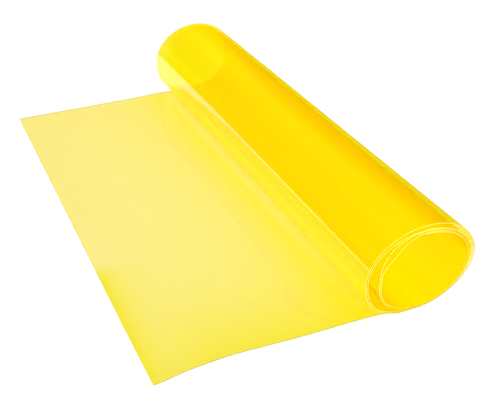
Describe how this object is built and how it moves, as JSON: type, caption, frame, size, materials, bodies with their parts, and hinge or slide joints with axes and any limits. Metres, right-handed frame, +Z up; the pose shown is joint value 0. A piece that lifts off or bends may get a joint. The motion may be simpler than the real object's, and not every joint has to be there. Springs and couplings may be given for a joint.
{
  "type": "welding curtain film roll",
  "caption": "Clear yellow PVC film for a welding curtain, partly unrolled: one end lies flat on the floor and the rest is a loose open roll.",
  "frame": {"origin": "on the floor, under the middle of the whole shape's box", "axes": "+X from the film's free edge towards the roll, +Y along the roll, across the film's width, +Z up"},
  "size_m": [0.6205, 1, 0.185],
  "materials": {
    "film": "clear yellow, glossy"
  },
  "bodies": {
    "laid": {"laid_sheet": "film"},
    "roll": {"outer_turns": "film", "inner_coil": "film"}
  },
  "joints": [
    {"name": "roll_up", "type": "slide", "parent": "laid", "child": "roll", "axis": [-1, 0, 0], "range_m": [0, 0.35], "deforming": ["laid_sheet"]}
  ]
}
